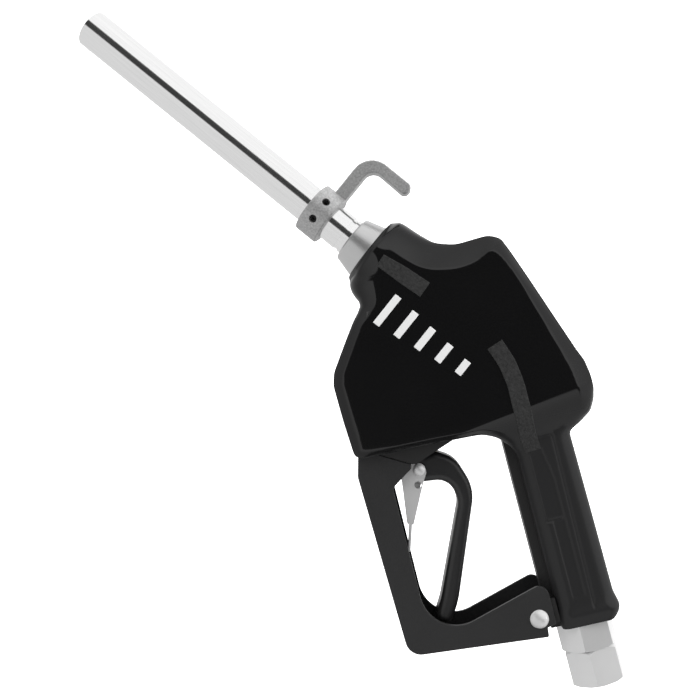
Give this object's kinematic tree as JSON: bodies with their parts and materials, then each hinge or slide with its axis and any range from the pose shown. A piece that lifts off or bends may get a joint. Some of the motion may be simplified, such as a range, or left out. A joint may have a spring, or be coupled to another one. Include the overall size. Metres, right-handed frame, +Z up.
{
  "type": "fuel nozzle",
  "caption": "Hand-held fuel nozzle with a straight metal spout, hanging hook, soft covered body and grip, guarded trigger, hold-open clip and hose swivel.",
  "frame": {"origin": "centre of the hose thread's mouth, at the lower face of the swivel nut", "axes": "+Z up the grip and the hose line, -X towards the spout's tip, +Y across the body; the plane y = 0 is the plane of symmetry of the outer form"},
  "size_m": [0.2542, 0.059, 0.4802],
  "materials": {
    "black_casting": "gloss",
    "cover": "gloss",
    "seal": "matte",
    "brass": "satin",
    "spring": "satin",
    "screw": "satin",
    "cast": "satin",
    "rivet": "gloss",
    "zinc": "satin",
    "collar": "satin",
    "nickel": "satin",
    "pin": "satin",
    "lever": "satin",
    "guard": "satin",
    "spout": "gloss"
  },
  "bodies": {
    "nozzle": {"body_casting": "black_casting", "body_cover": "cover", "spout_adapter": "cast", "spout_tube": "spout", "spout_seals": "seal", "vent_tube": "brass", "hook_collar": "collar", "collar_set_screws": "screw", "check_guide": "brass", "check_spring": "spring", "valve_seat_ring": "brass", "main_spring": "spring", "valve_cap": "cast", "cap_seal": "seal", "stem_gland": "brass", "plunger_bush": "brass", "plunger_spring": "spring", "diaphragm": "seal", "diaphragm_spring": "spring", "diaphragm_cap": "cast", "lever_guard": "guard", "guard_rivet": "rivet", "inlet_adapter": "nickel", "inlet_strainer": "spring", "swivel_ring": "spring", "swivel_seal": "seal"},
    "check_valve": {"check_poppet": "brass"},
    "main_valve": {"main_poppet": "brass", "poppet_seal": "seal"},
    "latch": {"latch_pin": "pin"},
    "plunger": {"latch_plunger": "pin", "lever_pin": "rivet"},
    "trigger": {"lever": "lever"},
    "clip": {"hold_open_clip": "zinc"},
    "swivel": {"swivel_nut": "nickel", "hose_washer": "seal"}
  },
  "joints": [
    {"name": "check_slide", "type": "slide", "parent": "nozzle", "child": "check_valve", "axis": [-0.592, 0, 0.8059], "range_m": [0, 0.004], "stiffness_N_per_m": 120, "springref_m": -0.004, "deforming": ["check_spring"]},
    {"name": "valve_lift", "type": "slide", "parent": "nozzle", "child": "main_valve", "axis": [0.4226, 0, 0.9063], "range_m": [0, 0.0042], "deforming": ["main_spring"]},
    {"name": "latch_lift", "type": "slide", "parent": "nozzle", "child": "latch", "axis": [-0.2419, 0, 0.9703], "range_m": [0, 0.003], "stiffness_N_per_m": 150, "springref_m": -0.004, "deforming": ["diaphragm", "diaphragm_spring"]},
    {"name": "plunger_drop", "type": "slide", "parent": "nozzle", "child": "plunger", "axis": [0.2419, 0, -0.9703], "range_m": [0, 0.005], "stiffness_N_per_m": 1500, "springref_m": -0.006, "deforming": ["plunger_spring"]},
    {"name": "trigger_squeeze", "type": "hinge", "parent": "plunger", "child": "trigger", "pos_m": [-0.0746, 0, 0.152], "axis": [0, -1, 0], "range_deg": [0, 22], "stiffness_Nm_per_rad": 1.2, "springref_deg": -17.19},
    {"name": "clip_swing", "type": "hinge", "parent": "trigger", "child": "clip", "pos_m": [-0.0746, 0, 0.152], "axis": [0, -1, 0], "range_deg": [-14, 0]},
    {"name": "swivel_spin", "type": "hinge", "parent": "nozzle", "child": "swivel", "pos_m": [0, 0, 0.015], "axis": [0, 0, 1], "continuous": true}
  ],
  "couplings": [
    {"joint": "valve_lift", "follows": "trigger_squeeze", "m_per_rad": 0.0104}
  ]
}
